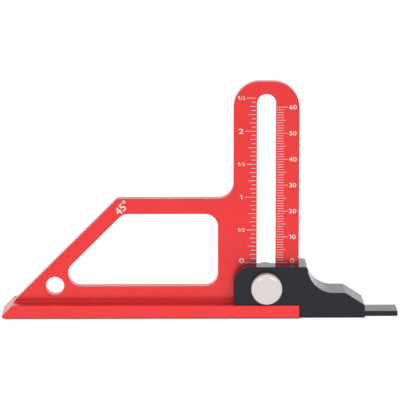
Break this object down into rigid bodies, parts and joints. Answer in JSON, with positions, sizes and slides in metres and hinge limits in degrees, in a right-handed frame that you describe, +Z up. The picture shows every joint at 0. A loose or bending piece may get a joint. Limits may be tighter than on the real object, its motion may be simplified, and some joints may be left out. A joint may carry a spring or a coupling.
{
  "type": "table saw height gauge",
  "caption": "Table saw height gauge: tee-section frame with slotted scale column, window and mitre edge, and a sliding height block with a tongue, locked by a thumb screw.",
  "frame": {"origin": "on the table, at the base's underside, straight below the clamp screw and at the plate's mid plane", "axes": "+X along the base to the tongue, +Y to the back, +Z up the column"},
  "size_m": [0.1514, 0.0258, 0.09],
  "materials": {
    "frame": "red anodised, fine blasted satin",
    "ink": "white ink",
    "slider": "black anodised, fine blasted satin",
    "knob": "satin nickel plate, straight knurl",
    "screw": "zinc-plated steel",
    "spring": "spring steel",
    "washer": "natural nylon",
    "nut": "black anodised, turned",
    "ring": "vulcanised fibre"
  },
  "bodies": {
    "frame": {"frame": "frame", "mm_scale": "ink", "inch_scale": "ink"},
    "slider": {"slider": "slider", "spring_washer": "spring", "flat_washer": "washer"},
    "knob": {"thumb_knob": "knob", "clamp_screw": "screw"},
    "nut": {"clamp_nut": "nut", "friction_ring": "ring"}
  },
  "joints": [
    {"name": "height_slide", "type": "slide", "parent": "frame", "child": "slider", "axis": [0, 0, 1], "range_m": [0, 0.062]},
    {"name": "knob_turn", "type": "hinge", "parent": "slider", "child": "knob", "pos_m": [0, -0.0091, 0.0118], "axis": [0, -1, 0], "range_deg": [0, 360]},
    {"name": "nut_travel", "type": "slide", "parent": "slider", "child": "nut", "axis": [0, 1, 0], "range_m": [0, 0.0008]}
  ],
  "couplings": [
    {"joint": "knob_turn", "follows": "nut_travel", "rad_per_m": 7853}
  ]
}
